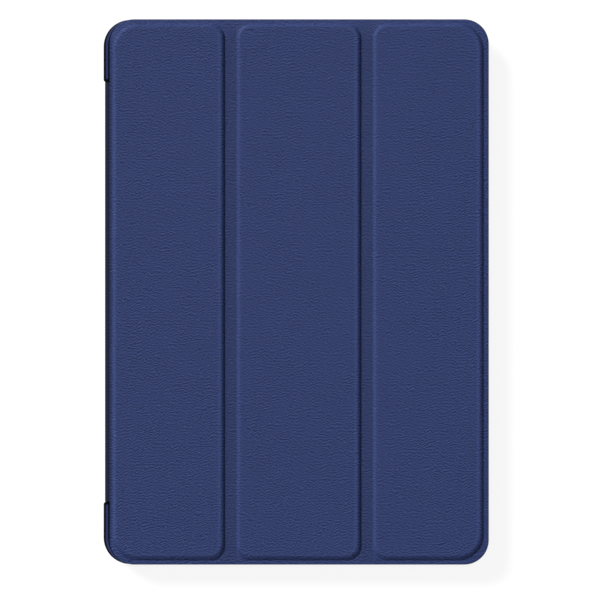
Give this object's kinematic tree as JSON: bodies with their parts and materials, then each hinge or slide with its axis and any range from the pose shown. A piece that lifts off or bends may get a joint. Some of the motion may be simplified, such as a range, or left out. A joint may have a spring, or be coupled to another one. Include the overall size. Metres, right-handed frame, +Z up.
{
  "type": "tri-fold tablet case",
  "caption": "Slim folio case: hard plastic shell with a leather spine and a cover of raised panels that folds along soft channels into a stand.",
  "frame": {"origin": "under the middle of the closed case, on the surface that it lies on", "axes": "+Z up through the front cover, +Y along the spine towards the camera end, +X from the spine to the cover's free edge"},
  "size_m": [0.1802, 0.2552, 0.0128],
  "materials": {
    "leather": "satin navy synthetic leather with a fine grain",
    "lining": "brushed microfibre suede",
    "shell_plastic": "satin moulded polycarbonate",
    "board": "pressed fibre board",
    "magnets": "nickel-plated",
    "keepers": "plain steel strip"
  },
  "bodies": {
    "shell": {"rear_shell": "shell_plastic", "back_skin": "leather"},
    "spine": {"spine_skin": "leather", "spine_board": "board", "spine_lining": "lining"},
    "panel_1": {"panel_1_skin": "leather", "panel_1_board": "board", "panel_1_lining": "lining", "stand_keepers": "keepers"},
    "fold_1_near": {"fold_1_skin_a": "leather", "fold_1_lining_a": "lining"},
    "fold_1_far": {"fold_1_skin_b": "leather", "fold_1_lining_b": "lining"},
    "panel_2": {"panel_2_skin": "leather", "panel_2_board": "board", "panel_2_lining": "lining"},
    "fold_2_near": {"fold_2_skin_a": "leather", "fold_2_lining_a": "lining"},
    "fold_2_far": {"fold_2_skin_b": "leather", "fold_2_lining_b": "lining"},
    "panel_3": {"panel_3_skin": "leather", "panel_3_board": "board", "panel_3_lining": "lining", "closing_magnets": "magnets", "wake_magnet": "magnets"}
  },
  "joints": [
    {"name": "spine_swing", "type": "hinge", "parent": "shell", "child": "spine", "pos_m": [-0.08896, 0, 0.00059], "axis": [0, -1, 0], "range_deg": [0, 178]},
    {"name": "cover_swing", "type": "hinge", "parent": "spine", "child": "panel_1", "pos_m": [-0.08886, 0, 0.01091], "axis": [0, -1, 0], "range_deg": [0, 178]},
    {"name": "stand_crease_1_near", "type": "hinge", "parent": "panel_1", "child": "fold_1_near", "pos_m": [-0.03255, 0, 0.0106], "axis": [0, -1, 0], "range_deg": [-61, 0]},
    {"name": "flip_fold_1", "type": "hinge", "parent": "fold_1_near", "child": "fold_1_far", "pos_m": [-0.0307, 0, 0.0116], "axis": [0, -1, 0], "range_deg": [0, 122]},
    {"name": "stand_crease_1_far", "type": "hinge", "parent": "fold_1_far", "child": "panel_2", "pos_m": [-0.02885, 0, 0.0106], "axis": [0, -1, 0], "range_deg": [-61, 0]},
    {"name": "stand_crease_2_near", "type": "hinge", "parent": "panel_2", "child": "fold_2_near", "pos_m": [0.0312, 0, 0.0106], "axis": [0, -1, 0], "range_deg": [-63, 0]},
    {"name": "flip_fold_2", "type": "hinge", "parent": "fold_2_near", "child": "fold_2_far", "pos_m": [0.03305, 0, 0.0116], "axis": [0, -1, 0], "range_deg": [0, 126]},
    {"name": "stand_crease_2_far", "type": "hinge", "parent": "fold_2_far", "child": "panel_3", "pos_m": [0.0349, 0, 0.0106], "axis": [0, -1, 0], "range_deg": [-63, 0]}
  ],
  "couplings": [
    {"joint": "stand_crease_1_near", "follows": "cover_swing", "ratio": -0.3426},
    {"joint": "stand_crease_1_far", "follows": "cover_swing", "ratio": -0.3426},
    {"joint": "stand_crease_2_near", "follows": "cover_swing", "ratio": -0.3539},
    {"joint": "stand_crease_2_far", "follows": "cover_swing", "ratio": -0.3539}
  ]
}
